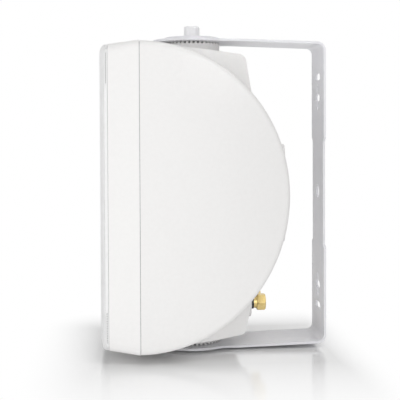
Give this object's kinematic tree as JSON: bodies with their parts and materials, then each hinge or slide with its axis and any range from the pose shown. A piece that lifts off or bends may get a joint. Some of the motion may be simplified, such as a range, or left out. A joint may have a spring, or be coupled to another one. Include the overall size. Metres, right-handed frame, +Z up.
{
  "type": "wall speaker",
  "caption": "White wall speaker: moulded cabinet with curved cheeks, bowed perforated grille and gold binding posts, swivelling in a steel U-bracket that screws to a wall.",
  "frame": {"origin": "centre hole of the bracket, on its wall face", "axes": "+Y towards the wall, so the speaker faces -Y; +Z up; +X to the right when looking at the wall"},
  "size_m": [0.118, 0.1571, 0.2259],
  "materials": {
    "bracket_paint": "satin white powder coat",
    "bolt_paint": "white painted steel",
    "cabinet_plastic": "fine-textured white moulding",
    "gasket_foam": "closed-cell foam strip",
    "grille_paint": "white painted perforated steel",
    "driver_black": "black painted pressed steel",
    "driver_plastic": "matt black moulding",
    "surround_rubber": "butyl rubber",
    "cone_paper": "black coated paper pulp",
    "spider_cloth": "resin-treated cloth",
    "copper_winding": "enamelled copper wire",
    "zinc_steel": "zinc-plated steel",
    "ferrite": "sintered ferrite",
    "dome_cloth": "coated soft dome",
    "board_laminate": "paper-phenolic board",
    "capacitor_sleeve": "shrink-sleeved can",
    "resistor_ceramic": "cement-filled ceramic",
    "black_screw": "black zinc screw",
    "insulator_black": "black nylon bush",
    "insulator_red": "red nylon bush",
    "gold_plate": "gold-plated brass",
    "insert_brass": "turned brass"
  },
  "bodies": {
    "bracket": {"u_bracket": "bracket_paint"},
    "cabinet": {"rear_housing": "cabinet_plastic", "front_baffle": "cabinet_plastic", "baffle_gasket": "gasket_foam", "grille": "grille_paint", "woofer_frame": "driver_black", "woofer_surround": "surround_rubber", "woofer_spider": "spider_cloth", "woofer_top_plate": "zinc_steel", "woofer_magnet": "ferrite", "woofer_yoke": "zinc_steel", "tweeter_faceplate": "driver_plastic", "tweeter_dome": "dome_cloth", "tweeter_magnet": "ferrite", "crossover_board": "board_laminate", "crossover_capacitor": "capacitor_sleeve", "crossover_coil": "copper_winding", "coil_bobbin": "driver_plastic", "crossover_resistor": "resistor_ceramic", "baffle_screws": "black_screw", "woofer_screws": "black_screw", "tweeter_screws": "black_screw", "board_screws": "zinc_steel", "post_lock_nuts": "zinc_steel", "insulator_black": "insulator_black", "binding_post_black": "gold_plate", "insulator_red": "insulator_red", "binding_post_red": "gold_plate", "pivot_insert_top": "insert_brass", "pivot_insert_bottom": "insert_brass"},
    "woofer_diaphragm": {"woofer_cone": "cone_paper", "woofer_dust_cap": "cone_paper", "voice_coil": "copper_winding"},
    "top_clamp": {"clamp_disc_top": "bracket_paint"},
    "top_bolt": {"pivot_bolt_top": "bolt_paint"},
    "bottom_clamp": {"clamp_disc_bottom": "bracket_paint"},
    "bottom_bolt": {"pivot_bolt_bottom": "bolt_paint"},
    "black_washer": {"post_washer_black": "gold_plate"},
    "black_nut": {"post_nut_black": "gold_plate"},
    "red_washer": {"post_washer_red": "gold_plate"},
    "red_nut": {"post_nut_red": "gold_plate"}
  },
  "joints": [
    {"name": "swivel", "type": "hinge", "parent": "bracket", "child": "cabinet", "pos_m": [0, -0.092, 0], "axis": [0, 0, 1], "range_deg": [-90, 90]},
    {"name": "cone_stroke", "type": "slide", "parent": "cabinet", "child": "woofer_diaphragm", "axis": [0, -1, 0], "range_m": [-0.002, 0.002], "stiffness_N_per_m": 1900, "deforming": ["woofer_surround", "woofer_spider"]},
    {"name": "top_clamp_lift", "type": "slide", "parent": "cabinet", "child": "top_clamp", "axis": [0, 0, 1], "range_m": [0, 0.001]},
    {"name": "top_bolt_turn", "type": "hinge", "parent": "top_clamp", "child": "top_bolt", "pos_m": [0, -0.092, 0.11], "axis": [0, 0, 1], "range_deg": [0, 360]},
    {"name": "bottom_clamp_drop", "type": "slide", "parent": "cabinet", "child": "bottom_clamp", "axis": [0, 0, -1], "range_m": [0, 0.001]},
    {"name": "bottom_bolt_turn", "type": "hinge", "parent": "bottom_clamp", "child": "bottom_bolt", "pos_m": [0, -0.092, -0.11], "axis": [0, 0, -1], "range_deg": [0, 360]},
    {"name": "black_washer_slide", "type": "slide", "parent": "cabinet", "child": "black_washer", "axis": [0, 1, 0], "range_m": [0, 0.0035]},
    {"name": "black_nut_turn", "type": "hinge", "parent": "black_washer", "child": "black_nut", "pos_m": [0.013, -0.045, -0.0768], "axis": [0, 1, 0], "range_deg": [0, 1800]},
    {"name": "red_washer_slide", "type": "slide", "parent": "cabinet", "child": "red_washer", "axis": [0, 1, 0], "range_m": [0, 0.0035]},
    {"name": "red_nut_turn", "type": "hinge", "parent": "red_washer", "child": "red_nut", "pos_m": [-0.013, -0.045, -0.0768], "axis": [0, 1, 0], "range_deg": [0, 1800]}
  ],
  "couplings": [
    {"joint": "top_bolt_turn", "follows": "top_clamp_lift", "rad_per_m": 6283.2},
    {"joint": "bottom_bolt_turn", "follows": "bottom_clamp_drop", "rad_per_m": 6283.2},
    {"joint": "black_nut_turn", "follows": "black_washer_slide", "rad_per_m": 8976},
    {"joint": "red_nut_turn", "follows": "red_washer_slide", "rad_per_m": 8976}
  ]
}
